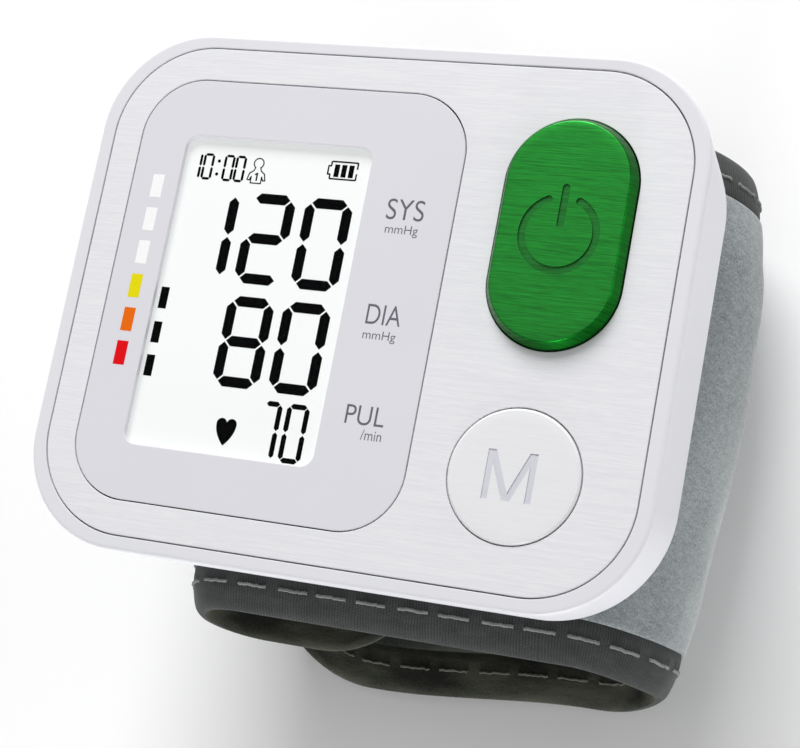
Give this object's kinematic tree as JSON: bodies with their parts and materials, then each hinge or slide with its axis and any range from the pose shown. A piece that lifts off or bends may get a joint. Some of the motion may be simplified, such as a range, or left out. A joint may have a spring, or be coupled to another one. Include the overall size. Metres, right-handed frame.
{
  "type": "wrist blood pressure monitor",
  "caption": "Flat rounded case with a display and push buttons, on a padded wrist cuff that closes on itself, for measuring blood pressure at the wrist.",
  "frame": {"origin": "middle of the box of the whole part, at its underside, where the closed cuff stands", "axes": "+X across the face to the right, +Y up the face and along the wearer's wrist, +Z out of the face"},
  "size_m": [0.0828, 0.0784, 0.0521],
  "materials": {
    "white_plastic": "satin",
    "brushed_plate": "brushed metal-effect film",
    "panel_grey": "matt, printed behind",
    "clear_pane": "clear",
    "lcd_glass": "polished",
    "green_button": "brushed, metal-effect",
    "pale_button": "brushed metal-effect film",
    "board_green": "solder mask",
    "black_plastic": "matt",
    "steel": "plated",
    "silicone": "matt",
    "cell_jacket": "printed sleeve",
    "velvet": "brushed loop nylon",
    "tape": "fine-ribbed binding tape",
    "hook_tape": "nylon hooks"
  },
  "bodies": {
    "case": {"front_housing": "white_plastic", "rear_housing": "white_plastic", "front_plate": "brushed_plate", "display_window": "panel_grey", "window_pane": "clear_pane", "lcd_panel": "lcd_glass", "lcd_frame": "black_plastic", "zebra_strip_1": "silicone", "zebra_strip_2": "silicone", "circuit_board": "board_green", "power_switch": "black_plastic", "memory_switch": "black_plastic", "battery_1": "cell_jacket", "battery_2": "cell_jacket", "battery_spring_1": "steel", "battery_spring_2": "steel", "contact_plate_1": "steel", "contact_plate_2": "steel", "pump_motor": "steel", "pump_head": "black_plastic", "release_valve": "black_plastic", "pressure_sensor": "black_plastic", "buzzer": "black_plastic", "air_manifold": "silicone", "case_screw_1": "steel", "case_screw_2": "steel", "case_screw_3": "steel", "case_screw_4": "steel", "board_screw_1": "steel", "board_screw_2": "steel", "board_screw_3": "steel", "cuff_screw_1": "steel", "cuff_screw_2": "steel", "cuff_screw_3": "steel", "cuff_screw_4": "steel", "cuff_sleeve": "velvet", "cuff_binding": "tape", "cuff_stiffener": "black_plastic", "bladder": "silicone"},
    "power_button": {"power_button": "green_button", "power_switch_plunger": "black_plastic"},
    "memory_button": {"memory_button": "pale_button", "memory_switch_plunger": "black_plastic"},
    "battery_cover": {"battery_cover": "white_plastic"},
    "cuff_strap": {"cuff_strap": "velvet", "strap_binding": "tape", "hook_patch": "hook_tape"}
  },
  "joints": [
    {"name": "power_press", "type": "slide", "parent": "case", "child": "power_button", "axis": [0, 0, -1], "range_m": [0, 0.0005], "stiffness_N_per_m": 2400},
    {"name": "memory_press", "type": "slide", "parent": "case", "child": "memory_button", "axis": [0, 0, -1], "range_m": [0, 0.0005], "stiffness_N_per_m": 2400},
    {"name": "battery_cover_slide", "type": "slide", "parent": "case", "child": "battery_cover", "axis": [-1, 0, 0], "range_m": [0, 0.012]},
    {"name": "cuff_opening", "type": "hinge", "parent": "case", "child": "cuff_strap", "pos_m": [0.04147, 0, 0.0148], "axis": [0, -1, 0], "range_deg": [0, 70]}
  ]
}
